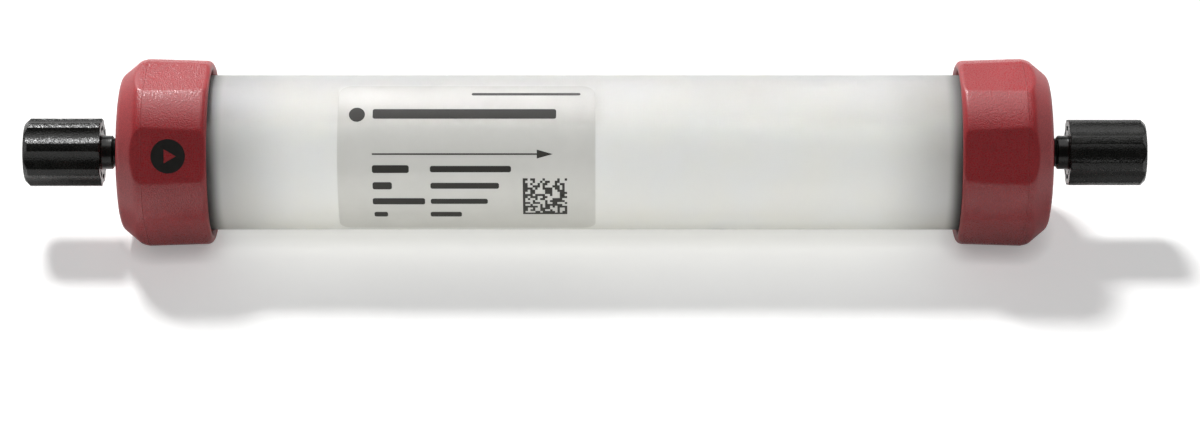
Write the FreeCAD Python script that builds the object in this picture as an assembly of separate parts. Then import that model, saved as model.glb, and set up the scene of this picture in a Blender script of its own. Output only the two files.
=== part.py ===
import FreeCAD, Part
import math
import os

os.makedirs("parts", exist_ok=True)

# Prepacked chromatography column lying along X, with the flow towards +X.
# The origin is on the column's axis at mid-length. Units are millimetres and degrees.
# Each end is designed for +X; the inlet's pieces are the outlet's turned half round Z.

# Packed bed and tube
bed_length = 100.0
bore_r = 8.0
tube_wall = 3.0
tube_end_reach = 9.0
tube_edge_chamfer = 0.4
bed_gap = 0.05

# Coarse thread that holds each cap on the tube
thread_pitch = 2.5
thread_turns = 1.12
thread_depth = 0.65
thread_crest_gap = 0.1
thread_overlap = 0.25
thread_groove_length = 4.6
thread_end_land = 0.3
thread_end_gap = 0.2
thread_base_width = 1.2
thread_crest_width = 0.6
thread_root_sink = 0.2

# Gasket, support net and filter disc
filter_thickness = 1.3
net_thickness = 0.4
net_pitch = 1.35
net_opening = 0.9
net_rim_width = 0.8
gasket_thickness = 1.0
gasket_inner_gap = 0.4
gasket_outer_inset = 0.8

# End piece with the port and the flow distributor
flange_thickness = 2.9
flange_gap = 0.5
bore_fit_gap = 0.08
port_boss_r = 5.0
boss_edge_chamfer = 0.3
port_depth = 7.2
port_r = 2.44
port_mouth_chamfer = 0.25
port_cone_mouth_r = 1.9
capillary_r = 0.4
seal_section = 1.5
seal_gap = 0.05
seal_groove_width = 1.9
seal_groove_from_face = 3.6
channel_width = 0.8
channel_depth = 0.5
channel_count = 8
channel_rim = 0.7
ring_channel_spacing = 3.0

# End cap
cap_grip = 6.2
cap_end_wall = 2.8
cap_lip_gap = 0.75
cap_lip_wall = 1.28
cap_draft = 1.76
cap_crease_from_face = 3.8
cap_shoulder_from_face = 2.8
cap_shoulder_fall = 0.21
cap_face_fall = 2.35
cap_flat_count = 6
cap_flat_angle = 30.0
cap_flat_depth = 0.61
cap_flat_draft = 1.0
cap_flat_round = 0.4
cap_mouth_round = 0.9
cap_shoulder_round = 1.6
cap_face_round = 1.4
cap_bore_gap = 0.3
lip_bore_depth = 1.5
lip_bore_chamfer = 0.35
boss_gap = 0.25

# Stop plug
knob_standoff = 3.0
knob_length = 10.9
knob_r = 4.83
knob_end_round = 0.6
knob_rim_chamfer = 0.12
flute_count = 8
flute_width = 2.6
flute_depth = 0.3
flute_phase = 15.0
core_inner_gap = 0.55
core_depth = 1.6
core_width = 1.0
core_rib_width = 0.55
plug_thread_gap = 0.04
plug_neck_r = 1.85
plug_neck_length = 1.0
plug_nose_r = 0.7
plug_seat_gap = 0.05

# Label
label_length = 36.1
label_centre_x = -16.55
label_top_angle = 90.5
label_wrap_angle = 131.0
label_thickness = 0.1
label_gap = 0.02
label_corner_r = 2.0

# Stations along +X that follow from the sizes above
bed_half = bed_length / 2
tube_half = bed_half + tube_end_reach
net_x = bed_half + filter_thickness
piece_face_x = net_x + net_thickness
flange_x = tube_half + gasket_thickness
cap_wall_x = flange_x + flange_thickness
cap_face_x = cap_wall_x + cap_end_wall
cap_mouth_x = tube_half - cap_grip
cap_crease_x = cap_face_x - cap_crease_from_face
cap_shoulder_x = cap_face_x - cap_shoulder_from_face
thread_x = tube_half - thread_end_land - thread_groove_length
seal_x = piece_face_x + seal_groove_from_face + seal_groove_width / 2
port_floor_x = cap_face_x - port_depth
cone_floor_x = port_floor_x - (port_cone_mouth_r - capillary_r)
knob_x = cap_face_x + knob_standoff
label_from = label_centre_x - label_length / 2
label_to = label_centre_x + label_length / 2

# Radii that follow from the sizes above
tube_r = bore_r + tube_wall
fitted_r = bore_r - bore_fit_gap
thread_groove_r = tube_r - thread_depth
thread_crest_r = tube_r - thread_crest_gap
nut_thread_crest_r = thread_crest_r - thread_overlap
cap_bore_r = tube_r + cap_bore_gap
lip_bore_r = tube_r + cap_lip_gap
flange_r = cap_bore_r - flange_gap
cap_mouth_r = lip_bore_r + cap_lip_wall
cap_crease_r = cap_mouth_r + (cap_crease_x - cap_mouth_x) * math.tan(math.radians(cap_draft))
cap_shoulder_r = cap_crease_r - cap_shoulder_fall
cap_face_r = cap_shoulder_r - cap_face_fall
cap_flat_r = cap_crease_r - cap_flat_depth
seal_groove_r = bore_r - seal_section - 2 * seal_gap
channel_reach_r = fitted_r - channel_rim
plug_shank_r = port_r - plug_thread_gap
core_inner_r = plug_shank_r + core_inner_gap
core_outer_r = core_inner_r + core_width

# Distance within which two places count as the same
match_distance = 0.001

x_axis = FreeCAD.Vector(1, 0, 0)
z_axis = FreeCAD.Vector(0, 0, 1)
origin = FreeCAD.Vector(0, 0, 0)


def ring_edges(shape, x, r):
    """Return the full-circle edges of a turned shape at one station and radius."""
    found = []
    for edge in shape.Edges:
        box = edge.BoundBox
        at_station = max(abs(box.XMin - x), abs(box.XMax - x)) < match_distance
        if at_station and abs(box.YMax - r) < match_distance:
            found.append(edge)
    return found


def turned(points):
    """Revolve a closed outline of (x, radius) points round the column's axis."""
    corners = [FreeCAD.Vector(x, r, 0) for x, r in points]
    outline = Part.makePolygon(corners + corners[:1])
    return Part.Face(outline).revolve(origin, x_axis, 360)


def rod(x_from, x_to, r):
    """Return a plain cylinder on the column's axis."""
    return Part.makeCylinder(r, x_to - x_from, FreeCAD.Vector(x_from, 0, 0), x_axis)


def tube(x_from, x_to, inner_r, outer_r):
    """Return a plain ring on the column's axis."""
    return rod(x_from, x_to, outer_r).cut(rod(x_from, x_to, inner_r))


def round_axis(shape, angle):
    """Return a copy turned about the column's axis."""
    copy = shape.copy()
    copy.rotate(origin, x_axis, angle)
    return copy


def pattern(shape, count):
    """Return copies of a shape spaced evenly round the column's axis."""
    return [round_axis(shape, 360 / count * step) for step in range(count)]


def helical_ridge(base_r, crest_r, x_from):
    """Return one screw ridge whose base is sunk a little into the wall that carries it."""
    helix = Part.makeHelix(thread_pitch, thread_pitch * thread_turns, base_r)
    away = 1 if crest_r > base_r else -1
    sunk_r = base_r - away * thread_root_sink
    half_base = thread_base_width / 2
    half_crest = thread_crest_width / 2
    corners = [
        FreeCAD.Vector(sunk_r, 0, -half_base),
        FreeCAD.Vector(base_r, 0, -half_base),
        FreeCAD.Vector(crest_r, 0, -half_crest),
        FreeCAD.Vector(crest_r, 0, half_crest),
        FreeCAD.Vector(base_r, 0, half_base),
        FreeCAD.Vector(sunk_r, 0, half_base),
    ]
    profile = Part.makePolygon(corners + corners[:1])
    ridge = Part.Wire(helix).makePipeShell([profile], True, True)
    ridge.rotate(origin, FreeCAD.Vector(0, 1, 0), 90)
    ridge.translate(FreeCAD.Vector(x_from, 0, 0))
    return ridge


def tube_thread():
    """Return the screw ridge on one end of the tube."""
    ridge_x = thread_x + thread_end_gap + thread_base_width / 2
    return helical_ridge(thread_groove_r, thread_crest_r, ridge_x)


def column_tube():
    """Return the clear tube with a threaded neck at each end."""
    body = tube(-tube_half, tube_half, bore_r, tube_r)
    neck = tube(thread_x, thread_x + thread_groove_length, thread_groove_r, cap_bore_r)
    ends = [edge for x in (-tube_half, tube_half) for edge in ring_edges(body, x, tube_r)]
    body = body.makeChamfer(tube_edge_chamfer, ends)
    body = body.cut(Part.makeCompound([neck, to_inlet(neck)]))
    return body.fuse(tube_thread()).fuse(to_inlet(tube_thread()))


def packed_bed():
    """Return the settled bed of beads."""
    return rod(-bed_half, bed_half, bore_r - bed_gap)


def cap_outside():
    """Return the cap's solid outside with its drafted wall, shoulder and six flats."""
    outline = [
        (cap_mouth_x, 0),
        (cap_mouth_x, cap_mouth_r),
        (cap_crease_x, cap_crease_r),
        (cap_shoulder_x, cap_shoulder_r),
        (cap_face_x, cap_face_r),
        (cap_face_x, 0),
    ]
    body = turned(outline)
    body = body.makeFillet(cap_mouth_round, ring_edges(body, cap_mouth_x, cap_mouth_r))
    body = body.makeFillet(cap_shoulder_round, ring_edges(body, cap_shoulder_x, cap_shoulder_r))
    body = body.makeFillet(cap_face_round, ring_edges(body, cap_face_x, cap_face_r))
    body = body.cut(Part.makeCompound(flat_cutters()))
    return soften_flats(body)


def flat_cutters():
    """Return the six blocks that cut the cap's flats, tilted by their mould draft."""
    length = 2 * (cap_face_x - cap_mouth_x)
    corner = FreeCAD.Vector(cap_crease_x - length / 2, cap_flat_r, -cap_crease_r)
    block = Part.makeBox(length, cap_crease_r, 2 * cap_crease_r, corner)
    block.rotate(FreeCAD.Vector(cap_crease_x, cap_flat_r, 0), z_axis, cap_flat_draft)
    return pattern(round_axis(block, cap_flat_angle), cap_flat_count)


def soften_flats(body):
    """Round the whole outline of each flat."""
    outline = []
    for face in body.Faces:
        flat = isinstance(face.Surface, Part.Plane)
        if flat and abs(face.normalAt(0, 0).x) < math.sin(math.radians(2 * cap_flat_draft)):
            outline += face.Edges
    return body.makeFillet(cap_flat_round, outline)


def cap_inside():
    """Return the space inside the cap: lip bore, threaded bore and boss hole."""
    lip_x = cap_mouth_x + lip_bore_depth
    step_x = lip_x + (lip_bore_r - cap_bore_r)
    space = turned(
        [
            (cap_mouth_x, 0),
            (cap_mouth_x, lip_bore_r + lip_bore_chamfer),
            (cap_mouth_x + lip_bore_chamfer, lip_bore_r),
            (lip_x, lip_bore_r),
            (step_x, cap_bore_r),
            (cap_wall_x, cap_bore_r),
            (cap_wall_x, port_boss_r + boss_gap),
            (cap_face_x, port_boss_r + boss_gap),
            (cap_face_x, 0),
        ]
    )
    return space


def end_cap():
    """Return the moulded cap with its internal screw ridge."""
    ridge_x = thread_x + thread_end_gap + (thread_base_width + thread_pitch) / 2
    ridge = helical_ridge(cap_bore_r, nut_thread_crest_r, ridge_x)
    return cap_outside().cut(cap_inside()).fuse(ridge)


def distributor_channels():
    """Return the shallow channels that spread the flow over the bed."""
    floor = channel_depth + piece_face_x
    spoke = Part.makeBox(
        channel_depth,
        channel_reach_r,
        channel_width,
        FreeCAD.Vector(piece_face_x, 0, -channel_width / 2),
    )
    rings = []
    r = channel_reach_r - channel_width
    while r > ring_channel_spacing:
        rings.append(tube(piece_face_x, floor, r - channel_width / 2, r + channel_width / 2))
        r -= ring_channel_spacing
    return Part.makeCompound(pattern(spoke, channel_count) + rings)


def port_passage():
    """Return the space of the threaded port, its cone seat and the capillary."""
    mouth_r = port_r + port_mouth_chamfer
    return turned(
        [
            (piece_face_x, 0),
            (piece_face_x, capillary_r),
            (cone_floor_x, capillary_r),
            (port_floor_x, port_cone_mouth_r),
            (port_floor_x, port_r),
            (cap_face_x - port_mouth_chamfer, port_r),
            (cap_face_x, mouth_r),
            (cap_face_x, 0),
        ]
    )


def end_piece():
    """Return the flanged piece that closes the bore and carries the port."""
    groove_from = seal_x - seal_groove_width / 2
    groove_to = seal_x + seal_groove_width / 2
    body = turned(
        [
            (piece_face_x, 0),
            (piece_face_x, fitted_r),
            (groove_from, fitted_r),
            (groove_from, seal_groove_r),
            (groove_to, seal_groove_r),
            (groove_to, fitted_r),
            (flange_x, fitted_r),
            (flange_x, flange_r),
            (cap_wall_x, flange_r),
            (cap_wall_x, port_boss_r),
            (cap_face_x - boss_edge_chamfer, port_boss_r),
            (cap_face_x, port_boss_r - boss_edge_chamfer),
            (cap_face_x, 0),
        ]
    )
    return body.cut(port_passage()).cut(distributor_channels())


def bore_seal():
    """Return the round-section ring in the end piece's groove."""
    section_r = seal_section / 2
    centre_r = bore_r - seal_gap - section_r
    return Part.makeTorus(centre_r, section_r, FreeCAD.Vector(seal_x, 0, 0), x_axis)


def face_gasket():
    """Return the flat gasket between the tube's end and the flange."""
    return tube(tube_half, flange_x, bore_r + gasket_inner_gap, tube_r - gasket_outer_inset)


def filter_disc():
    """Return the porous disc against the end of the bed."""
    return rod(bed_half, net_x, fitted_r)


def support_net():
    """Return the net that holds the filter off the distributor."""
    disc = rod(net_x, piece_face_x, fitted_r)
    reach = fitted_r - net_rim_width
    steps = int(reach / net_pitch)
    openings = []
    for row in range(-steps, steps + 1):
        for column in range(-steps, steps + 1):
            y = row * net_pitch
            z = column * net_pitch
            if math.hypot(abs(y) + net_opening / 2, abs(z) + net_opening / 2) > reach:
                continue
            corner = FreeCAD.Vector(net_x, y - net_opening / 2, z - net_opening / 2)
            openings.append(Part.makeBox(net_thickness, net_opening, net_opening, corner))
    return disc.cut(Part.makeCompound(openings))


def knob_flutes():
    """Return the eight long cutters that leave the knob's finger flutes."""
    half_width = flute_width / 2
    cutter_r = (half_width**2 + flute_depth**2) / (2 * flute_depth)
    chord_r = math.sqrt(knob_r**2 - half_width**2)
    centre_r = chord_r - flute_depth + cutter_r
    angle = math.radians(flute_phase)
    foot = FreeCAD.Vector(knob_x, centre_r * math.cos(angle), centre_r * math.sin(angle))
    cutter = Part.makeCylinder(cutter_r, knob_length, foot, x_axis)
    return pattern(cutter, flute_count)


def knob_core():
    """Return the pocket ring in the knob's inner end, with a rib left under each land."""
    trench = tube(knob_x, knob_x + core_depth, core_inner_r, core_outer_r)
    rib = Part.makeBox(
        core_depth,
        core_outer_r,
        core_rib_width,
        FreeCAD.Vector(knob_x, 0, -core_rib_width / 2),
    )
    first = round_axis(rib, flute_phase + 180 / flute_count)
    return trench.cut(Part.makeCompound(pattern(first, flute_count)))


def stop_plug():
    """Return the one-piece plug: fluted knob, shank, thread crest and conical nose."""
    knob_end_x = knob_x + knob_length
    nose_x = port_floor_x - (port_cone_mouth_r - plug_nose_r) + plug_seat_gap
    neck_x = nose_x + plug_neck_r - plug_nose_r
    knob = turned(
        [
            (knob_x, 0),
            (knob_x, knob_r - knob_rim_chamfer),
            (knob_x + knob_rim_chamfer, knob_r),
            (knob_end_x, knob_r),
            (knob_end_x, 0),
        ]
    )
    knob = knob.makeFillet(knob_end_round, ring_edges(knob, knob_end_x, knob_r))
    knob = knob.cut(Part.makeCompound(knob_flutes() + [knob_core()]))
    shank = turned(
        [
            (nose_x, 0),
            (nose_x, plug_nose_r),
            (neck_x, plug_neck_r),
            (neck_x + plug_neck_length, plug_neck_r),
            (neck_x + plug_neck_length + plug_shank_r - plug_neck_r, plug_shank_r),
            (knob_x, plug_shank_r),
            (knob_x, 0),
        ]
    )
    return knob.fuse(shank).removeSplitter()


def label_corner_cutters():
    """Return four cutters that leave the label's corners round."""
    inset_angle = math.degrees(label_corner_r / tube_r)
    cutters = []
    for x, away_x in ((label_from, -1), (label_to, 1)):
        for angle, away_z in ((label_top_angle, -1), (label_top_angle + label_wrap_angle, 1)):
            corner_x = x - away_x * label_corner_r
            block = Part.makeBox(
                2 * label_corner_r,
                2 * label_corner_r,
                2 * label_corner_r,
                FreeCAD.Vector(
                    min(corner_x, corner_x + 2 * away_x * label_corner_r),
                    tube_r - label_corner_r,
                    min(0, 2 * away_z * label_corner_r),
                ),
            )
            foot = FreeCAD.Vector(corner_x, tube_r - label_corner_r, 0)
            post = Part.makeCylinder(
                label_corner_r, 2 * label_corner_r, foot, FreeCAD.Vector(0, 1, 0)
            )
            cutters.append(round_axis(block.cut(post), angle - away_z * inset_angle))
    return cutters


def label():
    """Return the thin label wrapped round the tube, with rounded corners."""
    inner_r = tube_r + label_gap
    outer_r = inner_r + label_thickness
    corners = [
        FreeCAD.Vector(label_from, inner_r, 0),
        FreeCAD.Vector(label_from, outer_r, 0),
        FreeCAD.Vector(label_to, outer_r, 0),
        FreeCAD.Vector(label_to, inner_r, 0),
    ]
    strip = Part.Face(Part.makePolygon(corners + corners[:1]))
    film = round_axis(strip, label_top_angle).revolve(origin, x_axis, label_wrap_angle)
    return film.cut(Part.makeCompound(label_corner_cutters()))


def to_inlet(shape):
    """Return a copy of an outlet piece at the inlet end."""
    copy = shape.copy()
    copy.rotate(origin, z_axis, 180)
    return copy


def save(name, shape):
    """Write one piece as a STEP file."""
    solid = shape.Solids[0]
    assert len(shape.Solids) == 1 and solid.isValid(), name
    solid.exportStep("parts/" + name + ".step")


save("column_tube", column_tube())
save("packed_bed", packed_bed())
save("label", label())

end_pieces = {
    "end_cap": end_cap(),
    "end_piece": end_piece(),
    "bore_seal": bore_seal(),
    "face_gasket": face_gasket(),
    "support_net": support_net(),
    "filter": filter_disc(),
    "stop_plug": stop_plug(),
}
for name, shape in end_pieces.items():
    save("outlet_" + name, shape)
    save("inlet_" + name, to_inlet(shape))
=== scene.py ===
import math

import bmesh
import bpy
from mathutils import Matrix, Vector


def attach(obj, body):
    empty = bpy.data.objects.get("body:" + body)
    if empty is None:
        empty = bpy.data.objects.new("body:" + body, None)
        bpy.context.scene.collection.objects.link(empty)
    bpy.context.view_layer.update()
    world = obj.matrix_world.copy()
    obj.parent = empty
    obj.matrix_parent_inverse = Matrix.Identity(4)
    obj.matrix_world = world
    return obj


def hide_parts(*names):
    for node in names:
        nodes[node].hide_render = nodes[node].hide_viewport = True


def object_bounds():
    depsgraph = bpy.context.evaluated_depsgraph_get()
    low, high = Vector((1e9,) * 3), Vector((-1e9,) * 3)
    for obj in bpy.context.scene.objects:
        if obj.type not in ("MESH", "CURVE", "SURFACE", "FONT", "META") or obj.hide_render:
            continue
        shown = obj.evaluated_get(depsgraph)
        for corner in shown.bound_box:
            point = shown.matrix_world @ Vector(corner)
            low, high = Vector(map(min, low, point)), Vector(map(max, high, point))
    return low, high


mm = 0.001

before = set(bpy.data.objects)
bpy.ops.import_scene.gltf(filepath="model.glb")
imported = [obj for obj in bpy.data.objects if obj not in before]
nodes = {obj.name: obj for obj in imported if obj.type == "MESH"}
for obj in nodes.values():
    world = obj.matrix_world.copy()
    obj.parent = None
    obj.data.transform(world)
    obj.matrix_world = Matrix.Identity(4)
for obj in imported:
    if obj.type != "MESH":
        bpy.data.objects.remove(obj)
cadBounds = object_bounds()
print("frame loaded:", len(nodes), "nodes")


# Small helpers.

def linear(hexColour):
    # sRGB hex to the linear colour that sockets take
    channels = [int(hexColour[i:i + 2], 16) / 255 for i in (1, 3, 5)]
    return (*[c / 12.92 if c <= 0.04045 else ((c + 0.055) / 1.055) ** 2.4 for c in channels], 1.0)


def addNode(tree, kind, settings=None, **inputs):
    # one node, its settings, and its inputs by name or number (a socket is linked, a value is set)
    node = tree.nodes.new(kind)
    for name, value in (settings or {}).items():
        setattr(node, name, value)
    for name, value in inputs.items():
        byNumber = name[0] == "i" and name[1:].isdigit()
        socket = node.inputs[int(name[1:])] if byNumber else node.inputs[name.replace("_", " ")]
        if isinstance(value, bpy.types.NodeSocket):
            tree.links.new(value, socket)
        else:
            socket.default_value = value
    return node


def maths(tree, operation, *values, clamp=False):
    return addNode(tree, "ShaderNodeMath", {"operation": operation, "use_clamp": clamp},
                   **{f"i{i}": v for i, v in enumerate(values)}).outputs[0]


def meshObject(name, mesh):
    obj = bpy.data.objects.new(name, mesh)
    bpy.context.scene.collection.objects.link(obj)
    return obj


def shade(mesh, sharpAt=35):
    for face in mesh.polygons:
        face.use_smooth = True
    mesh.set_sharp_from_angle(angle=math.radians(sharpAt))


def finishMesh(name, bm, sharpAt=35, mesh=None):
    # merges what bm holds, faces it outwards and writes it to a mesh
    bmesh.ops.remove_doubles(bm, verts=bm.verts, dist=0.002 * mm)
    bmesh.ops.dissolve_degenerate(bm, edges=bm.edges, dist=0.0005 * mm)
    bmesh.ops.recalc_face_normals(bm, faces=bm.faces)
    mesh = mesh or bpy.data.meshes.new(name)
    bm.to_mesh(mesh)
    bm.free()
    shade(mesh, sharpAt)
    return mesh


def newTree(name, inputs):
    # a Geometry Nodes tree with a mesh going in and out, and named sizes
    tree = bpy.data.node_groups.new(name, "GeometryNodeTree")
    tree.interface.new_socket("Geometry", in_out="INPUT", socket_type="NodeSocketGeometry")
    for label, kind in inputs.items():
        tree.interface.new_socket(label, in_out="INPUT", socket_type="NodeSocket" + kind)
    tree.interface.new_socket("Geometry", in_out="OUTPUT", socket_type="NodeSocketGeometry")
    start = tree.nodes.new("NodeGroupInput")
    return tree, start


def endTree(tree, start, geometry):
    real = addNode(tree, "GeometryNodeRealizeInstances", Geometry=geometry)
    painted = addNode(tree, "GeometryNodeSetMaterial", Geometry=real.outputs[0], Material=start.outputs["Finish"])
    out = tree.nodes.new("NodeGroupOutput")
    tree.links.new(painted.outputs[0], out.inputs[0])


def growMesh(name, tree, values, startMesh=None, sharpAt=35):
    # runs the tree on a mesh and keeps the plain result
    carrier = meshObject(name + "Carrier", startMesh or bpy.data.meshes.new(name + "Start"))
    modifier = carrier.modifiers.new(name, "NODES")
    modifier.node_group = tree
    for item in tree.interface.items_tree:
        if item.in_out == "INPUT" and item.name in values:
            modifier[item.identifier] = values[item.name]
    shot = carrier.evaluated_get(bpy.context.evaluated_depsgraph_get())
    mesh = bpy.data.meshes.new_from_object(shot)
    carrier.modifiers.remove(modifier)
    bpy.data.objects.remove(carrier)
    mesh.name = name
    bm = bmesh.new()
    bm.from_mesh(mesh)
    return finishMesh(name, bm, sharpAt, mesh)


# Finishes.

def newFinish(name):
    finish = bpy.data.materials.new(name)
    finish.use_nodes = True
    finish.node_tree.nodes.clear()
    tree = finish.node_tree
    shader = addNode(tree, "ShaderNodeBsdfPrincipled")
    out = addNode(tree, "ShaderNodeOutputMaterial")
    tree.links.new(shader.outputs[0], out.inputs[0])
    place = addNode(tree, "ShaderNodeTexCoord").outputs["Object"]
    return finish, tree, shader, place


def setShader(shader, **values):
    for name, value in values.items():
        shader.inputs[name.replace("_", " ")].default_value = value


def speckle(tree, place, size, detail=2.0, roughness=0.5):
    # noise whose grain is about `size` millimetres across
    return addNode(tree, "ShaderNodeTexNoise", Vector=place, Scale=1 / (size * mm), Detail=detail,
                   Roughness=roughness).outputs["Fac"]


def between(tree, value, low, high, outLow=0.0, outHigh=1.0):
    return addNode(tree, "ShaderNodeMapRange", {"interpolation_type": "SMOOTHSTEP"}, Value=value,
                   From_Min=low, From_Max=high, To_Min=outLow, To_Max=outHigh).outputs[0]


def colourMix(tree, amount, first, second):
    return addNode(tree, "ShaderNodeMix", {"data_type": "RGBA"}, i0=amount, i6=first, i7=second).outputs[2]


def bump(tree, shader, height, depth, edgeRound=0.0):
    # depth is the real height in millimetres between a pattern's 0 and 1,
    # edgeRound the radius that creases are shaded with
    node = addNode(tree, "ShaderNodeBump", Height=height, Distance=depth * mm)
    if edgeRound:
        soft = addNode(tree, "ShaderNodeBevel", {"samples": 8}, Radius=edgeRound * mm)
        tree.links.new(soft.outputs[0], node.inputs["Normal"])
    tree.links.new(node.outputs[0], shader.inputs["Normal"])


tubeLook = {
    "colour": "#CECDC8",
    "cooler": "#CCCED0",
    "scatter": 4.0,          # mean free path in the wall, mm
    "roughness": 0.56,
    "overFittings": 0.78,    # share of the colour kept at the ends, painted shade for the light that the caps and the dark fittings under the wall keep from coming back
    "fittingsFrom": 40.0,    # mm from the middle, where that painted shade begins
    "fittingsTo": 52.5,
    "lipGap": 1.8,           # mm before there, painted shade for the light that the cap's overhanging lip keeps off the wall
    "lostBelow": 0.86,       # and how much of the colour that painted shade takes, on the sides and below
    "lostOnTop": 0.60,       # and on top, where it is painted lighter
    "cloud": 9.0,            # mm, the soft patches in the colour
    "grain": 0.35,           # mm
    "turningPitch": 0.30,    # lathe feed is nearer 0.1 mm, drawn coarser so that it shows
    "turningDepth": 0.0016,
}


def turnedPolypropylene():
    # Natural polypropylene bar, turned and bored: milky and translucent, satin, with faint rings round it. Its
    # colour carries painted shade towards the caps and under their lips.
    finish, tree, shader, place = newFinish("turned natural polypropylene")
    cloud = speckle(tree, place, tubeLook["cloud"])
    colour = colourMix(tree, cloud, linear(tubeLook["colour"]), linear(tubeLook["cooler"]))
    spot = addNode(tree, "ShaderNodeSeparateXYZ", Vector=place)
    x = spot.outputs[0]
    away = maths(tree, "ABSOLUTE", x)
    end = tubeLook["fittingsTo"]
    # painted shade: the colour darkens towards the caps, for light that doesn't come back through the wall there
    paintedEndMask = between(tree, away, tubeLook["fittingsFrom"] * mm, end * mm)
    # painted shade under the caps' lips, painted lighter towards the top, where more light reaches
    paintedLipMask = between(tree, away, (end - tubeLook["lipGap"]) * mm, (end + 0.3) * mm)
    lipShadeDepth = between(tree, spot.outputs[2], 2 * mm, 10 * mm, -tubeLook["lostBelow"], -tubeLook["lostOnTop"])
    # kept: the share of the colour left by both painted shades
    kept = maths(tree, "MULTIPLY", maths(tree, "MULTIPLY_ADD", paintedEndMask, tubeLook["overFittings"] - 1.0, 1.0),
                 maths(tree, "MULTIPLY_ADD", paintedLipMask, lipShadeDepth, 1.0))
    shaded = addNode(tree, "ShaderNodeVectorMath", {"operation": "SCALE"}, i0=colour, Scale=kept)
    tree.links.new(shaded.outputs[0], shader.inputs["Base Color"])
    fine = speckle(tree, place, tubeLook["grain"], 3.0)
    tree.links.new(between(tree, fine, 0.2, 0.8, tubeLook["roughness"] - 0.05, tubeLook["roughness"] + 0.06),
                   shader.inputs["Roughness"])
    setShader(shader, Subsurface_Weight=1.0, Subsurface_Radius=(1.0, 1.0, 0.93),
              Subsurface_Scale=tubeLook["scatter"] * mm, IOR=1.49)
    feed = maths(tree, "SINE", maths(tree, "MULTIPLY", x, 2 * math.pi / (tubeLook["turningPitch"] * mm)))
    ring = maths(tree, "MULTIPLY_ADD", feed, 0.4, maths(tree, "MULTIPLY", fine, 0.8))
    bump(tree, shader, ring, tubeLook["turningDepth"])
    return finish


redLook = {
    "colour": "#CB4045",
    "deeper": "#AA2D34",
    "grain": 0.18,           # spark-eroded grain, mm
    "grainDepth": 0.040,     # about twice the real depth, so that it shows
    "cloud": 5.0,            # mm
    "grainFrom": 53.3,       # the grained band runs between the polished lip and shoulder
    "grainTo": 62.7,
    "parting": 61.9,         # witness line of the mould halves
    "grained": 0.36, "uneven": 0.11,   # roughness, and how far it wanders with the grain
    "polished": 0.41,
    "edgeRound": 0.70,       # the mould's creases are this soft, mm
}


def grainedRed():
    # Red polypropylene moulding: the grip comes from a spark-eroded mould, lip and shoulder from a polished one.
    finish, tree, shader, place = newFinish("moulded red polypropylene")
    x = maths(tree, "ABSOLUTE", addNode(tree, "ShaderNodeSeparateXYZ", Vector=place).outputs[0])
    fromLip = between(tree, x, (redLook["grainFrom"] - 0.3) * mm, (redLook["grainFrom"] + 0.3) * mm)
    toShoulder = between(tree, x, (redLook["grainTo"] - 0.4) * mm, (redLook["grainTo"] + 0.6) * mm, 1.0, 0.0)
    grained = maths(tree, "MULTIPLY", fromLip, toShoulder)
    grain = speckle(tree, place, redLook["grain"], 0.0)
    cloud = speckle(tree, place, redLook["cloud"])
    tone = maths(tree, "MULTIPLY_ADD", between(tree, grain, 0.3, 0.7), 0.6, maths(tree, "MULTIPLY", cloud, 0.4))
    tree.links.new(colourMix(tree, tone, linear(redLook["colour"]), linear(redLook["deeper"])),
                   shader.inputs["Base Color"])
    skin = between(tree, grain, 0.35, 0.65, redLook["grained"] - redLook["uneven"],
                   redLook["grained"] + redLook["uneven"])
    tree.links.new(maths(tree, "MULTIPLY_ADD", grained, maths(tree, "SUBTRACT", skin, redLook["polished"]),
                         redLook["polished"]), shader.inputs["Roughness"])
    setShader(shader, IOR=1.49, Specular_IOR_Level=0.80, Subsurface_Weight=0.15, Subsurface_Radius=(1.0, 0.3, 0.3),
              Subsurface_Scale=0.7 * mm)
    away = maths(tree, "ABSOLUTE", maths(tree, "SUBTRACT", x, redLook["parting"] * mm))
    line = between(tree, away, 0.02 * mm, 0.09 * mm, 1.0, 0.0)
    height = maths(tree, "MULTIPLY_ADD", maths(tree, "MULTIPLY", grain, grained), 1.0,
                   maths(tree, "MULTIPLY", line, 1.2))
    height = maths(tree, "MULTIPLY_ADD", speckle(tree, place, 0.5, 2.0), 0.12, height)
    bump(tree, shader, height, redLook["grainDepth"], redLook["edgeRound"])
    return finish


blackLook = {
    "colour": "#171816",
    "worn": "#272825",
    "grain": 0.18,           # mm
    "grainDepth": 0.040,
    "cloud": 2.0,            # mm
    "endFace": 68.78,        # the grain begins here, and shank and thread are smooth
    "mottledFrom": 0.18, "mottledTo": 0.33, "polished": 0.24,   # roughness
}


def mouldedBlack():
    # Black acetal moulding: semi-gloss with a fine mottled skin that sparkles along the upper ridges.
    finish, tree, shader, place = newFinish("moulded black acetal")
    grain = speckle(tree, place, blackLook["grain"], 0.0)
    cloud = speckle(tree, place, blackLook["cloud"], 3.0)
    tree.links.new(colourMix(tree, between(tree, cloud, 0.45, 0.75), linear(blackLook["colour"]),
                             linear(blackLook["worn"])), shader.inputs["Base Color"])
    x = maths(tree, "ABSOLUTE", addNode(tree, "ShaderNodeSeparateXYZ", Vector=place).outputs[0])
    onKnob = maths(tree, "GREATER_THAN", x, blackLook["endFace"] * mm)
    mottled = between(tree, grain, 0.35, 0.65, blackLook["mottledFrom"], blackLook["mottledTo"])
    tree.links.new(maths(tree, "MULTIPLY_ADD", onKnob, maths(tree, "SUBTRACT", mottled, blackLook["polished"]),
                         blackLook["polished"]), shader.inputs["Roughness"])
    setShader(shader, IOR=1.48, Specular_IOR_Level=0.42)
    bump(tree, shader, maths(tree, "MULTIPLY", grain, maths(tree, "MULTIPLY_ADD", onKnob, 0.85, 0.15)),
         blackLook["grainDepth"])
    return finish


filmLook = {
    "colour": "#C2C2BF",
    "patch": "#BABAB7",
    "metallic": 0.20,
    "roughness": 0.50,
}


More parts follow.
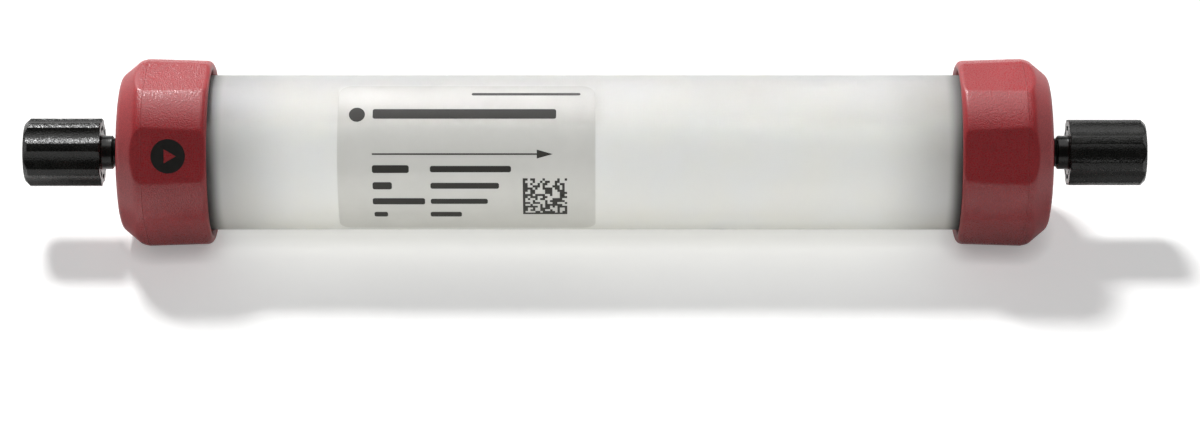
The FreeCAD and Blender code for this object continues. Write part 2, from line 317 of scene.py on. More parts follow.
def silverFilm():
    # Matt silver polyester film: an aluminised sheet under a satin coat, so it shades like brushed tin.
    finish, tree, shader, place = newFinish("satin silver polyester film")
    cloud = speckle(tree, place, 3.0, 3.0)
    tree.links.new(colourMix(tree, cloud, linear(filmLook["colour"]), linear(filmLook["patch"])),
                   shader.inputs["Base Color"])
    fine = speckle(tree, place, 0.3, 2.0)
    tree.links.new(between(tree, fine, 0.3, 0.7, filmLook["roughness"] - 0.03, filmLook["roughness"] + 0.03),
                   shader.inputs["Roughness"])
    setShader(shader, Metallic=filmLook["metallic"])
    bump(tree, shader, fine, 0.0015)
    return finish


def thermalInk(name, colour):
    # Transfer ink: a thin, nearly black, slightly uneven resin layer.
    finish, tree, shader, place = newFinish(name)
    patch = speckle(tree, place, 0.4, 3.0)
    tree.links.new(colourMix(tree, patch, linear(colour), linear("#2E2D2A")), shader.inputs["Base Color"])
    tree.links.new(between(tree, patch, 0.3, 0.7, 0.42, 0.58), shader.inputs["Roughness"])
    bump(tree, shader, patch, 0.002)
    return finish


def plainMoulding(name, light, dark, grain, depth, roughness, scatter=0.0):
    # The inner mouldings: one polymer each, toned and grained by its own process.
    finish, tree, shader, place = newFinish(name)
    pattern = speckle(tree, place, grain, 3.0, 0.6)
    tree.links.new(colourMix(tree, pattern, linear(light), linear(dark)), shader.inputs["Base Color"])
    tree.links.new(between(tree, pattern, 0.3, 0.7, roughness - 0.05, roughness + 0.06), shader.inputs["Roughness"])
    setShader(shader, IOR=1.49)
    if scatter:
        setShader(shader, Subsurface_Weight=1.0, Subsurface_Radius=(1.0, 0.98, 0.9), Subsurface_Scale=scatter * mm)
    bump(tree, shader, pattern, depth)
    return finish


def beadBed():
    # Packed gel beads of about 0.09 mm: a wet, even white mass, its beads drawn three times as wide to show.
    finish, tree, shader, place = newFinish("packed agarose beads")
    cells = addNode(tree, "ShaderNodeTexVoronoi", Vector=place, Scale=1 / (0.27 * mm))
    tree.links.new(colourMix(tree, cells.outputs["Distance"], linear("#F5F5F2"), linear("#E9EAE6")),
                   shader.inputs["Base Color"])
    setShader(shader, Roughness=0.35, IOR=1.34, Subsurface_Weight=1.0, Subsurface_Radius=(1.0, 1.0, 0.96),
              Subsurface_Scale=3.0 * mm)
    bump(tree, shader, maths(tree, "SUBTRACT", 1.0, cells.outputs["Distance"]), 0.05)
    return finish


def wovenNylon():
    # Support net: white polyamide monofilament, smooth with the drawing lines of the thread.
    finish, tree, shader, place = newFinish("woven polyamide thread")
    stretched = addNode(tree, "ShaderNodeMapping", Vector=place, Scale=(1.0, 0.2, 1.0)).outputs[0]
    lines = speckle(tree, stretched, 0.12, 2.0)
    tree.links.new(colourMix(tree, lines, linear("#EDECE6"), linear("#DAD8CF")), shader.inputs["Base Color"])
    setShader(shader, Roughness=0.3, IOR=1.53, Subsurface_Weight=0.6, Subsurface_Radius=(1.0, 1.0, 0.9),
              Subsurface_Scale=0.4 * mm)
    bump(tree, shader, lines, 0.01)
    return finish


finishes = {
    "tube": turnedPolypropylene(),
    "bed": beadBed(),
    "film": silverFilm(),
    "red": grainedRed(),
    "black": mouldedBlack(),
    "natural": plainMoulding("moulded natural polypropylene", "#EDEDE7", "#E2E2DA", 0.8, 0.004, 0.36, 1.5),
    "rubber": plainMoulding("moulded EPDM rubber", "#232324", "#2E2E2F", 0.15, 0.006, 0.55),
    "net": wovenNylon(),
    "filter": plainMoulding("sintered polyethylene", "#F0EFEA", "#D8D6CE", 0.2, 0.05, 0.6, 0.6),
    "ink": thermalInk("resin transfer ink", "#1E1D1B"),
    "padInk": thermalInk("pad printing ink", "#141312"),
}
print("finishes made:", len(finishes))


# Pieces carried over from the frame.

nodeFinish = {
    "column_tube": "tube", "packed_bed": "bed",
    "end_cap": "red", "end_piece": "natural", "bore_seal": "rubber", "face_gasket": "rubber",
    "support_net": "net", "filter": "filter",
}
for name, node in nodes.items():
    part = name.replace("inlet_", "").replace("outlet_", "")
    if part in nodeFinish:
        node.data.materials.clear()
        node.data.materials.append(finishes[nodeFinish[part]])
print("inner mouldings, tube and caps finished")


# The label, laid flat, cut out and wrapped round the tube.

labelSize = {
    "from": -34.6, "to": 1.5,        # along the tube
    "topAngle": 90.5, "wrap": 129.4, # round the tube, from the top towards the front
    "tubeRadius": 11.0, "gap": 0.02, "thickness": 0.10,
    "corner": 2.0,
    "inkThickness": 0.012,
}
labelRadius = labelSize["tubeRadius"] + labelSize["gap"]
labelDown = math.radians(labelSize["wrap"]) * (labelRadius + labelSize["thickness"])


def addSheet(bm, rows, low, high):
    # a thin closed sheet from rows of (distance down, left end, right end)
    layers = []
    for lift in (low, high):
        layers.append([(bm.verts.new((left, down, lift)), bm.verts.new((right, down, lift)))
                       for down, left, right in rows])
    bottom, top = layers
    for i in range(len(rows) - 1):
        for layer in layers:
            bm.faces.new((layer[i][0], layer[i][1], layer[i + 1][1], layer[i + 1][0]))
        for side in (0, 1):
            bm.faces.new((bottom[i][side], bottom[i + 1][side], top[i + 1][side], top[i][side]))
    for i in (0, -1):
        bm.faces.new((bottom[i][0], bottom[i][1], top[i][1], top[i][0]))


def spread(first, last, step):
    count = max(1, math.ceil(abs(last - first) / step))
    return [first + (last - first) * i / count for i in range(count + 1)]


def roundedRows(left, right, top, bottom, corner, step):
    downs = [top + corner * (1 - math.cos(math.radians(a))) for a in range(0, 90, 9)]
    downs += spread(top + corner, bottom - corner, step)
    downs += [bottom - corner * (1 - math.cos(math.radians(a))) for a in range(81, -1, -9)]
    rows = []
    for down in downs:
        reach = corner - min(down - top, bottom - down, corner)
        inset = corner - math.sqrt(max(corner ** 2 - reach ** 2, 0.0))
        rows.append((down, left + inset, right - inset))
    return rows


def wrapTree():
    # x stays along the tube, y becomes distance round it and z the height above it
    tree, start = newTree("wrap round the tube", {"Radius": "Float", "Start Angle": "Float", "Finish": "Material"})
    place = addNode(tree, "ShaderNodeSeparateXYZ", Vector=addNode(tree, "GeometryNodeInputPosition").outputs[0])
    angle = maths(tree, "ADD", maths(tree, "DIVIDE", place.outputs[1], start.outputs["Radius"]),
                  start.outputs["Start Angle"])
    radius = maths(tree, "ADD", start.outputs["Radius"], place.outputs[2])
    wrapped = addNode(tree, "ShaderNodeCombineXYZ", X=place.outputs[0],
                      Y=maths(tree, "MULTIPLY", radius, maths(tree, "COSINE", angle)),
                      Z=maths(tree, "MULTIPLY", radius, maths(tree, "SINE", angle)))
    moved = addNode(tree, "GeometryNodeSetPosition", Geometry=start.outputs["Geometry"], Position=wrapped.outputs[0])
    endTree(tree, start, moved.outputs[0])
    return tree


wrap = wrapTree()


def wrapped(name, bm, finish):
    for vertex in bm.verts:
        vertex.co *= mm
    flat = bpy.data.meshes.new(name + "Flat")
    bm.to_mesh(flat)
    bm.free()
    mesh = growMesh(name, wrap, {"Radius": labelRadius * mm, "Start Angle": math.radians(labelSize["topAngle"]),
                                 "Finish": finish}, flat)
    return meshObject(name, mesh)


sheet = bmesh.new()
addSheet(sheet, roundedRows(labelSize["from"], labelSize["to"], 0.0, labelDown, labelSize["corner"], 0.35),
         0.0, labelSize["thickness"])
labelFilm = wrapped("labelFilm", sheet, finishes["film"])

# What is printed: a plain mark, a heading bar, the arrow of the flow, four rows of fields and a block of cells.
labelPrint = {
    "mark": (-31.9, 5.5, 1.12),                 # centre along, centre down, radius
    "bars": [                                   # left, right, top, bottom
        (-29.7, -4.0, 4.62, 6.15),
        (-15.9, -0.6, 1.62, 2.12),
        (-29.75, -24.6, 12.75, 13.85), (-29.7, -27.0, 15.2, 16.3), (-29.75, -22.4, 17.75, 18.85),
        (-29.6, -27.7, 20.35, 21.4),
        (-21.65, -10.3, 12.85, 13.75), (-21.6, -12.0, 15.3, 16.2), (-21.6, -13.6, 17.85, 18.75),
        (-21.7, -17.3, 20.35, 21.4),
    ],
    "arrow": (-29.75, -6.6, 11.2, 0.22),        # left, right, centre down, width
    "arrowHead": (-6.7, -4.45, 0.62),           # base, tip, half height
    "cells": {"left": -8.5, "top": 14.8, "columns": 18, "rows": 18, "size": 0.345, "seed": 7},
}

inkLow = labelSize["thickness"] - 0.004
inkHigh = labelSize["thickness"] + labelSize["inkThickness"]
ink = bmesh.new()
for left, right, top, bottom in labelPrint["bars"]:
    addSheet(ink, roundedRows(left, right, top, bottom, min(0.3, (bottom - top) / 2), 0.3), inkLow, inkHigh)
left, right, centre, width = labelPrint["arrow"]
addSheet(ink, [(centre - width / 2, left, right), (centre + width / 2, left, right)], inkLow, inkHigh)
base, tip, half = labelPrint["arrowHead"]
addSheet(ink, [(centre + down, base, tip - (tip - base) * abs(down) / half * 0.995)
               for down in spread(-half, half, half / 4)], inkLow, inkHigh)
along, centre, radius = labelPrint["mark"]
addSheet(ink, roundedRows(along - radius, along + radius, centre - radius, centre + radius, radius, 0.3),
         inkLow, inkHigh)


def cellTree():
    # a grid of small square cells, a seeded half of them kept, inside two solid edges
    tree, start = newTree("block of cells", {"Left": "Float", "Top": "Float", "Columns": "Int", "Rows": "Int",
                                             "Cell Size": "Float", "Low": "Float", "High": "Float",
                                             "Seed": "Int", "Finish": "Material"})
    size = start.outputs["Cell Size"]
    across = maths(tree, "MULTIPLY", size, maths(tree, "SUBTRACT", start.outputs["Columns"], 1))
    down = maths(tree, "MULTIPLY", size, maths(tree, "SUBTRACT", start.outputs["Rows"], 1))
    grid = addNode(tree, "GeometryNodeMeshGrid", Size_X=across, Size_Y=down,
                   Vertices_X=start.outputs["Columns"], Vertices_Y=start.outputs["Rows"])
    place = addNode(tree, "ShaderNodeSeparateXYZ", Vector=addNode(tree, "GeometryNodeInputPosition").outputs[0])
    chance = addNode(tree, "FunctionNodeRandomValue", {"data_type": "BOOLEAN"}, Probability=0.52,
                     Seed=start.outputs["Seed"])
    onLeft = maths(tree, "LESS_THAN", place.outputs[0], maths(tree, "MULTIPLY", across, -0.49))
    onFoot = maths(tree, "GREATER_THAN", place.outputs[1], maths(tree, "MULTIPLY", down, 0.49))
    kept = maths(tree, "MAXIMUM", maths(tree, "MAXIMUM", onLeft, onFoot), chance.outputs[3])
    thick = maths(tree, "SUBTRACT", start.outputs["High"], start.outputs["Low"])
    cell = addNode(tree, "GeometryNodeMeshCube",
                   Size=addNode(tree, "ShaderNodeCombineXYZ", X=size, Y=size, Z=thick).outputs[0])
    cells = addNode(tree, "GeometryNodeInstanceOnPoints", Points=grid.outputs[0], Selection=kept,
                    Instance=cell.outputs[0])
    middle = addNode(tree, "ShaderNodeCombineXYZ",
                     X=maths(tree, "MULTIPLY_ADD", across, 0.5, start.outputs["Left"]),
                     Y=maths(tree, "MULTIPLY_ADD", down, 0.5, start.outputs["Top"]),
                     Z=maths(tree, "MULTIPLY_ADD", thick, 0.5, start.outputs["Low"]))
    placed = addNode(tree, "GeometryNodeTransform", Geometry=cells.outputs[0], Translation=middle.outputs[0])
    endTree(tree, start, placed.outputs[0])
    return tree


cells = labelPrint["cells"]
cellMesh = growMesh("cellBlock", cellTree(), {
    "Left": cells["left"], "Top": cells["top"], "Columns": cells["columns"], "Rows": cells["rows"],
    "Cell Size": cells["size"], "Low": inkLow, "High": inkHigh, "Seed": cells["seed"], "Finish": finishes["ink"]})
ink.from_mesh(cellMesh)
labelInk = wrapped("labelInk", ink, finishes["ink"])
for obj in (labelFilm, labelInk):
    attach(obj, "column")
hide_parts("label")
print("label wrapped:", len(labelFilm.data.polygons), "film and", len(labelInk.data.polygons), "ink faces")


# The pad-printed mark on the inlet cap's front flat.

padMark = {
    "along": -58.1, "flatAngle": 30.0,        # the flat that faces the front, 30 degrees up
    "crease": 61.9, "creaseDistance": 12.70,  # the flat's distance from the axis where it is widest
    "draft": 1.0,                             # and its slope towards the mouth, degrees
    "radius": 2.4, "opening": 1.15,           # a disc with an arrow-shaped opening
    "thickness": 0.02,
}


def flowMark():
    drawing = bpy.data.curves.new("flowMarkDrawing", "CURVE")
    drawing.dimensions = "2D"
    drawing.fill_mode = "BOTH"
    drawing.extrude = padMark["thickness"] * mm
    ring = [(padMark["radius"] * math.cos(a), padMark["radius"] * math.sin(a))
            for a in (2 * math.pi * i / 96 for i in range(96))]
    arrow = [(padMark["opening"] * math.cos(a), padMark["opening"] * math.sin(a))
             for a in (2 * math.pi * i / 3 for i in range(3))]
    for outline in (ring, arrow):
        spline = drawing.splines.new("POLY")
        spline.points.add(len(outline) - 1)
        for point, (x, y) in zip(spline.points, outline):
            point.co = (x * mm, y * mm, 0, 1)
        spline.use_cyclic_u = True
    carrier = meshObject("flowMarkCarrier", drawing)
    mesh = bpy.data.meshes.new_from_object(carrier.evaluated_get(bpy.context.evaluated_depsgraph_get()))
    bpy.data.objects.remove(carrier)
    up = math.radians(padMark["flatAngle"])
    lean = math.radians(padMark["draft"])
    outward = Vector((math.sin(lean), -math.cos(up) * math.cos(lean), math.sin(up) * math.cos(lean)))
    along = Vector((1, 0, 0)) - outward * outward.x
    along.normalize()
    across = outward.cross(along)
    turn = Matrix((along, across, outward)).transposed().to_4x4()
    surface = padMark["creaseDistance"] - (padMark["crease"] + padMark["along"]) * math.tan(lean)
    centre = Vector((padMark["along"], -math.cos(up) * surface, math.sin(up) * surface)) * mm
    mesh.transform(Matrix.Translation(centre) @ turn)
    bm = bmesh.new()
    bm.from_mesh(mesh)
    mesh = finishMesh("flowMark", bm)
    mesh.materials.clear()
    mesh.materials.append(finishes["padInk"])
    return meshObject("flowMark", mesh)


capMark = flowMark()
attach(capMark, "column")
print("cap mark printed")


# Stop plugs: fluted knob, collar, thread and sealing nose.

plugSize = {
    "knobFrom": 68.7, "knobLength": 10.9, "knobRadius": 4.83,
    "endChamfer": 0.68, "rimChamfer": 0.12,
    "flutes": 8, "fluteWidth": 2.6, "fluteDepth": 0.3, "edgeSoftness": 0.03,
    "flutePhase": 13.3, "inletTurn": 5.1,     # degrees, how far the plugs happen to be screwed in
    "pocketInner": 3.15, "pocketOuter": 3.80, "pocketDepth": 1.6, "ribWidth": 0.95,
    "collarFrom": 67.0, "collarRadius": 2.40, "collarChamfer": 0.28,
    "rootRadius": 1.96, "crestRadius": 2.40, "pitch": 0.794, "threadFrom": 59.75, "threadTo": 67.05,
    "neckFrom": 58.5, "neckRadius": 1.85, "noseFrom": 57.35, "noseRadius": 0.7,
}


def fluteRadius(angle):
    # distance from the axis to a flute's floor, the flute's middle being at angle 0
    half = plugSize["fluteWidth"] / 2
    depth = plugSize["fluteDepth"]
    cutter = (half ** 2 + depth ** 2) / (2 * depth)
    centre = math.sqrt(plugSize["knobRadius"] ** 2 - half ** 2) - depth + cutter
    inside = cutter ** 2 - (centre * math.sin(angle)) ** 2
    return centre * math.cos(angle) - math.sqrt(inside) if inside > 0 else 99.0


def softMin(a, b, soft):
    h = max(soft - abs(a - b), 0.0) / soft
    return min(a, b) - h * h * soft / 4


def knobSlice():
    # one eighth of the knob, from the middle of one land to the middle of the next
    s = plugSize
    half = math.pi / s["flutes"]
    rim, end = s["knobFrom"], s["knobFrom"] + s["knobLength"]
    ribAt = half - math.asin(s["ribWidth"] / 2 / s["pocketOuter"])
    angles = sorted(set([-half, half] + [round(half * i / 24, 6) for i in range(-23, 24)]))
    columns = [(a, False) for a in angles if a < -ribAt - 1e-4] + [(-ribAt, False), (-ribAt, True)]
    columns += [(a, True) for a in angles if abs(a) < ribAt - 1e-4]
    columns += [(ribAt, True), (ribAt, False)] + [(a, False) for a in angles if a > ribAt + 1e-4]
    outline = [(rim, s["knobRadius"] - s["rimChamfer"]), (rim + s["rimChamfer"], s["knobRadius"])]
    outline += [(rim + s["knobLength"] * t, s["knobRadius"]) for t in (0.25, 0.5, 0.75)]
    outline += [(end - s["endChamfer"] * (1 - t), s["knobRadius"] - s["endChamfer"] * t)
                for t in (0.0, 0.12, 0.25, 0.4, 0.55, 0.7, 0.85, 1.0)]
    bm = bmesh.new()
    grid = []
    for angle, pocket in columns:
        bottom = rim + s["pocketDepth"] if pocket else rim
        points = [(rim, 0.0), (rim, s["pocketInner"]), (bottom, s["pocketInner"]), (bottom, s["pocketOuter"]),
                  (rim, s["pocketOuter"])]
        points += [(x, softMin(r, fluteRadius(angle), s["edgeSoftness"])) for x, r in outline]
        points.append((end, 0.0))
        turn = angle + math.radians(s["flutePhase"])
        grid.append([bm.verts.new((x * mm, r * math.cos(turn) * mm, r * math.sin(turn) * mm)) for x, r in points])
    for one, other in zip(grid, grid[1:]):
        for i in range(len(one) - 1):
            bm.faces.new((one[i], one[i + 1], other[i + 1], other[i]))
    mesh = bpy.data.meshes.new("knobSlice")
    bm.to_mesh(mesh)
    bm.free()
    return mesh


def knobTree():
    # sets the slice round the axis as often as the knob has flutes
    tree, start = newTree("slices round the knob", {"Count": "Int", "Finish": "Material"})
    line = addNode(tree, "GeometryNodeMeshLine", Count=start.outputs["Count"], Offset=(0.0, 0.0, 0.0))
    step = maths(tree, "DIVIDE", 2 * math.pi, start.outputs["Count"])
    turn = maths(tree, "MULTIPLY", addNode(tree, "GeometryNodeInputIndex").outputs[0], step)
    rotation = addNode(tree, "FunctionNodeEulerToRotation",
                       Euler=addNode(tree, "ShaderNodeCombineXYZ", X=turn).outputs[0])
    ring = addNode(tree, "GeometryNodeInstanceOnPoints", Points=line.outputs[0], Instance=start.outputs["Geometry"],
                   Rotation=rotation.outputs[0])
    real = addNode(tree, "GeometryNodeRealizeInstances", Geometry=ring.outputs[0])
    merged = addNode(tree, "GeometryNodeMergeByDistance", Geometry=real.outputs[0], Distance=0.002 * mm)
    endTree(tree, start, merged.outputs[0])
    return tree


def threadTree():
    # a sheared grid rolled up: each row follows the helix, and both ends close on the axis
    tree, start = newTree("screw thread", {"Root Radius": "Float", "Crest Radius": "Float", "Pitch": "Float",
                                           "From": "Float", "To": "Float", "Finish": "Material"})
    around, steps = 72, 8
    length = maths(tree, "SUBTRACT", start.outputs["To"], start.outputs["From"])
    rows = maths(tree, "MULTIPLY", maths(tree, "ADD", maths(tree, "CEIL", maths(
        tree, "DIVIDE", length, start.outputs["Pitch"])), 3), steps)
    grid = addNode(tree, "GeometryNodeMeshGrid", Size_X=1.0, Size_Y=1.0, Vertices_X=rows, Vertices_Y=around + 1)
    index = addNode(tree, "GeometryNodeInputIndex").outputs[0]
    row = maths(tree, "FLOOR", maths(tree, "DIVIDE", index, around + 1))
    column = maths(tree, "SUBTRACT", index, maths(tree, "MULTIPLY", row, around + 1))
    share = maths(tree, "DIVIDE", column, around)
    turns = maths(tree, "ADD", maths(tree, "DIVIDE", maths(tree, "SUBTRACT", row, steps), steps), share)
    x = maths(tree, "MULTIPLY_ADD", turns, start.outputs["Pitch"], start.outputs["From"])
    inside = maths(tree, "MINIMUM", maths(tree, "MAXIMUM", x, start.outputs["From"]), start.outputs["To"])
    phase = maths(tree, "FRACT", maths(tree, "DIVIDE", maths(tree, "ADD", row, 0.01), steps))
    ramp = maths(tree, "SUBTRACT", 1.0, maths(tree, "ABSOLUTE", maths(tree, "MULTIPLY_ADD", phase, 2.0, -1.0)))
    flank = addNode(tree, "ShaderNodeMapRange", Value=ramp, From_Min=0.1, From_Max=0.8).outputs[0]
    fromEnd = maths(tree, "MINIMUM", maths(tree, "SUBTRACT", inside, start.outputs["From"]),
                    maths(tree, "SUBTRACT", start.outputs["To"], inside))
    runOut = addNode(tree, "ShaderNodeMapRange", Value=fromEnd, From_Min=0.0,
                     From_Max=start.outputs["Pitch"]).outputs[0]
    depth = maths(tree, "SUBTRACT", start.outputs["Crest Radius"], start.outputs["Root Radius"])
    radius = maths(tree, "MULTIPLY_ADD", maths(tree, "MULTIPLY", flank, runOut), depth, start.outputs["Root Radius"])
    radius = maths(tree, "MULTIPLY", radius, maths(tree, "GREATER_THAN", fromEnd, 0.0))
    angle = maths(tree, "MULTIPLY", share, 2 * math.pi)
    spot = addNode(tree, "ShaderNodeCombineXYZ", X=inside,
                   Y=maths(tree, "MULTIPLY", radius, maths(tree, "COSINE", angle)),
                   Z=maths(tree, "MULTIPLY", radius, maths(tree, "SINE", angle)))
    moved = addNode(tree, "GeometryNodeSetPosition", Geometry=grid.outputs[0], Position=spot.outputs[0])
    merged = addNode(tree, "GeometryNodeMergeByDistance", Geometry=moved.outputs[0], Distance=0.001 * mm)
    endTree(tree, start, merged.outputs[0])
    return tree


def turnedCore(bm, stations, around=72):
    # a closed turned body from (along, radius) stations, the first and last on the axis
    rings = []
    for x, r in stations:
        rings.append([bm.verts.new((x * mm, r * mm * math.cos(2 * math.pi * i / around),
                                    r * mm * math.sin(2 * math.pi * i / around))) for i in range(around)])
    for one, other in zip(rings, rings[1:]):
        for i in range(around):
            j = (i + 1) % around
            bm.faces.new((one[i], one[j], other[j], other[i]))


def plugMesh():
    s = plugSize
    knob = growMesh("knob", knobTree(), {"Count": s["flutes"], "Finish": finishes["black"]}, knobSlice(), 40)
    thread = growMesh("thread", threadTree(), {
        "Root Radius": s["rootRadius"] * mm, "Crest Radius": s["crestRadius"] * mm, "Pitch": s["pitch"] * mm,
        "From": s["threadFrom"] * mm, "To": s["threadTo"] * mm, "Finish": finishes["black"]}, None, 40)
    core = bmesh.new()
    underThread = s["rootRadius"] - 0.02      # the core stays just under the thread's root
    turnedCore(core, [
        (s["noseFrom"], 0.0), (s["noseFrom"], s["noseRadius"] - 0.1), (s["noseFrom"] + 0.1, s["noseRadius"]),
        (s["neckFrom"], s["neckRadius"]), (s["threadFrom"] - 0.1, s["neckRadius"]),
        (s["threadFrom"] + 0.1, underThread), (s["collarFrom"] - 0.05, underThread),
        (s["collarFrom"], s["rootRadius"] + 0.06), (s["collarFrom"] + s["collarChamfer"], s["collarRadius"]),
        (s["knobFrom"] - 0.15, s["collarRadius"]), (s["knobFrom"] - 0.04, s["collarRadius"] + 0.04),
        (s["knobFrom"], s["collarRadius"] + 0.15), (s["knobFrom"] + 0.3, s["collarRadius"] + 0.15),
        (s["knobFrom"] + 0.3, 0.0)])
    core = finishMesh("plugCore", core, sharpAt=40)
    bm = bmesh.new()
    for mesh in (knob, thread, core):
        bm.from_mesh(mesh)
    joined = bpy.data.meshes.new("stopPlug")
    bm.to_mesh(joined)
    bm.free()
    joined.materials.append(finishes["black"])
    shade(joined, 40)
    return joined


outletMesh = plugMesh()
inletMesh = outletMesh.copy()
inletTurn = Matrix.Rotation(math.radians(plugSize["inletTurn"]), 4, "X")
inletMesh.transform(Matrix.Rotation(math.pi, 4, "Z") @ inletTurn)
stopPlugs = {}
for end, mesh in (("outlet", outletMesh), ("inlet", inletMesh)):
    plug = meshObject(end + "StopPlug", mesh)
    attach(plug, end + "_plug")
    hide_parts(end + "_stop_plug")
    stopPlugs[end] = plug
print("stop plugs made:", len(outletMesh.polygons), "faces each")


# Floor, light and camera.

studio = {
    "floor": "#E5E5E4", "floorPatch": "#E0E0DF", "floorReach": 3.0,
    "paperGrain": 900.0,                     # to the metre
    "whiteFrom": 0.11, "whiteTo": 0.32,      # metres from the object where the floor fades into plain white
    "tableGlow": 0.51,                       # how far the paper's shadows are opened for the camera, with painted light: the paper itself glows
    "tableInGloss": 0.5,                     # and how much of that shows in the object's gloss
    "contact": 3.0,                          # mm, the reach of a painted contact shadow, where that glow is dimmed
    "fill": 0.06,                            # what comes from the room
}

# The real wall and bed carry the light from the back round to the front and down to the table. A hollow tube can't
# do that here, so soft beams that reach only the tube and its label, and a lamp low in the bore that reaches only
# the table, stand for it. They have no reflection of their own, and only the caps and plugs stop them.
# The overhead light leaves the table to the key, which is stronger there: the paper is overexposed, as in the
# photograph, so that its shadows stay clear while the object keeps its colours.
lampPlan = {
    "key": {"place": (-0.418, 0.82, 1.17), "width": 0.27, "height": 0.27, "power": 13.9},
    "keyOnTable": {"place": (-0.418, 0.82, 1.17), "width": 0.27, "height": 0.27, "power": 8.9, "reaches": "table"},
    "overhead": {"place": (-0.03, 0.28, 1.0), "width": 1.1, "height": 1.1, "power": 6.1, "reaches": "body"},
    "withinFront": {"place": (0.009, -0.274, 0.122), "width": 0.106, "height": 0.080, "power": 0.0242,
                    "spread": 7.0, "tint": (1.0, 0.995, 0.965), "reaches": "tube", "stoppedBy": "stops"},
    "withinLower": {"place": (0.004, -0.103, -0.282), "width": 0.104, "height": 0.080, "power": 0.0084,
                    "spread": 7.0, "tint": (1.0, 0.985, 0.86), "reaches": "tube", "stoppedBy": "stops"},
    "ontoTable": {"place": (0.0, 0.0, -0.0087), "towards": (0.0, 0.0, -1.0), "width": 0.100, "height": 0.006,
                  "power": 0.0018, "tint": (1.0, 0.995, 0.97), "reaches": "table", "stoppedBy": "stops"},
}


def paleFloor():
    finish = bpy.data.materials.new("pale studio floor")
    finish.use_nodes = True
    tree = finish.node_tree
    tree.nodes.clear()
    place = addNode(tree, "ShaderNodeTexCoord").outputs["Object"]
    weave = addNode(tree, "ShaderNodeTexNoise", Vector=place, Scale=studio["paperGrain"], Detail=2.0).outputs["Fac"]
    colour = colourMix(tree, weave, linear(studio["floor"]), linear(studio["floorPatch"]))
    paper = addNode(tree, "ShaderNodeBsdfDiffuse", Color=colour)
    white = addNode(tree, "ShaderNodeEmission", Color=(1, 1, 1, 1), Strength=1.0)
    distance = addNode(tree, "ShaderNodeVectorMath", {"operation": "LENGTH"}, i0=place).outputs[1]
    far = between(tree, distance, studio["whiteFrom"], studio["whiteTo"])
    path = addNode(tree, "ShaderNodeLightPath")
    direct = maths(tree, "MAXIMUM", path.outputs["Is Camera Ray"], path.outputs["Is Transmission Ray"])
    inGloss = maths(tree, "MULTIPLY", path.outputs["Is Glossy Ray"], studio["tableInGloss"])
    seen = maths(tree, "MAXIMUM", direct, inGloss)
    # painted light: the paper glows to open its shadows, and near the object the glow is dimmed into a painted
    # contact shadow
    clear = addNode(tree, "ShaderNodeAmbientOcclusion", {"samples": 16},
                    Distance=studio["contact"] * mm).outputs["AO"]
    glow = maths(tree, "MULTIPLY", maths(tree, "MULTIPLY_ADD", clear, 0.5, 0.5), studio["tableGlow"])
    opened = addNode(tree, "ShaderNodeEmission", Color=(1, 1, 1, 1), Strength=maths(tree, "MULTIPLY", glow, seen))
    lit = addNode(tree, "ShaderNodeAddShader", i0=paper.outputs[0], i1=opened.outputs[0])
    mixed = addNode(tree, "ShaderNodeMixShader", i0=maths(tree, "MULTIPLY", far, seen), i1=lit.outputs[0],
                    i2=white.outputs[0])
    addNode(tree, "ShaderNodeOutputMaterial", Surface=mixed.outputs[0])
    return finish


floorMesh = bpy.data.meshes.new("floor")
reach = studio["floorReach"]
lowest = cadBounds[0][2]
corners = [(-reach, -reach, lowest), (reach, -reach, lowest), (reach, reach, lowest), (-reach, reach, lowest)]
floorMesh.from_pydata(corners, [], [(0, 1, 2, 3)])
floor = meshObject("floor", floorMesh)
floor.data.materials.append(paleFloor())

world = bpy.data.worlds.new("studio")
bpy.context.scene.world = world
world.use_nodes = True
tree = world.node_tree
tree.nodes.clear()
path = addNode(tree, "ShaderNodeLightPath")
towards = addNode(tree, "ShaderNodeSeparateXYZ", Vector=addNode(tree, "ShaderNodeTexCoord").outputs["Generated"])
behind = between(tree, towards.outputs[1], -0.2, 0.3)               # the room before the table is dark
inGloss = maths(tree, "MULTIPLY", path.outputs["Is Glossy Ray"], behind)
seen = maths(tree, "MAXIMUM", maths(tree, "MAXIMUM", path.outputs["Is Camera Ray"], inGloss),
             path.outputs["Is Transmission Ray"])
horizon = between(tree, towards.outputs[2], 0.10, 0.60, 1.0, 0.0)   # the white backdrop fades out by 35 degrees
strength = maths(tree, "MULTIPLY_ADD", maths(tree, "MULTIPLY", seen, horizon), 1.0 - studio["fill"], studio["fill"])
room = addNode(tree, "ShaderNodeBackground", Color=(1, 1, 1, 1), Strength=strength)
addNode(tree, "ShaderNodeOutputWorld", Surface=room.outputs[0])

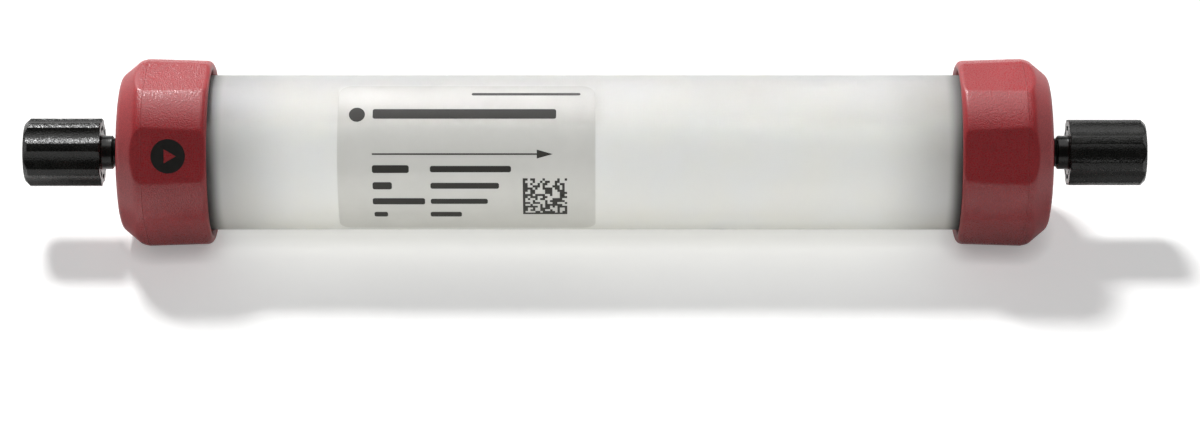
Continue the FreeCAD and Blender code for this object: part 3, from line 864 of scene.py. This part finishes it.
pieces = [obj for obj in bpy.context.scene.objects if obj.type == "MESH" and obj != floor]
lightSets = {
    "body": pieces,
    "tube": [nodes["column_tube"], labelFilm, labelInk],
    "table": [floor],
    "stops": [nodes["inlet_end_cap"], nodes["outlet_end_cap"], *stopPlugs.values()],
}
for name, members in lightSets.items():
    lightSets[name] = bpy.data.collections.new("light set " + name)
    for obj in members:
        lightSets[name].objects.link(obj)

for name, spec in lampPlan.items():
    lamp = bpy.data.lights.new(name, "AREA")
    lamp.shape = "RECTANGLE"
    lamp.size = spec["width"]
    lamp.size_y = spec["height"]
    lamp.energy = spec["power"]
    lamp.color = spec.get("tint", (1.0, 1.0, 1.0))
    lamp.spread = math.radians(spec.get("spread", 180.0))
    holder = bpy.data.objects.new(name, lamp)
    bpy.context.scene.collection.objects.link(holder)
    holder.location = spec["place"]
    ahead = Vector(spec.get("towards", (0.0, 0.0, 0.0))) - Vector(spec["place"])
    holder.rotation_euler = ahead.to_track_quat("-Z", "Y").to_euler()
    if "reaches" in spec:
        holder.light_linking.receiver_collection = lightSets[spec["reaches"]]
    if "stoppedBy" in spec:
        holder.light_linking.blocker_collection = lightSets[spec["stoppedBy"]]
        holder.visible_glossy = False
        holder.visible_camera = False
print("lamps set:", len(lampPlan))

photo = {
    "width": 1200, "height": 434,
    "objectAt": (585.0, 152.4),      # where the middle of the tube's axis lies in the picture
    "lens": 120.0, "distance": 0.570, "lookDown": 33.4,
}
camera = bpy.data.cameras.new("camera")
camera.lens = photo["lens"]
camera.sensor_width = 36.0
eye = bpy.data.objects.new("camera", camera)
bpy.context.scene.collection.objects.link(eye)
tilt = math.radians(photo["lookDown"])
forward = Vector((0, math.cos(tilt), -math.sin(tilt)))
upward = Vector((0, math.sin(tilt), math.cos(tilt)))
focal = photo["lens"] / 36.0 * photo["width"]
ray = (forward + Vector((1, 0, 0)) * (photo["objectAt"][0] - photo["width"] / 2) / focal
       + upward * (photo["height"] / 2 - photo["objectAt"][1]) / focal).normalized()
eye.location = -ray * photo["distance"]
eye.rotation_euler = forward.to_track_quat("-Z", "Y").to_euler()
bpy.context.scene.camera = eye
bpy.context.scene.view_settings.view_transform = "Standard"
print("studio set")
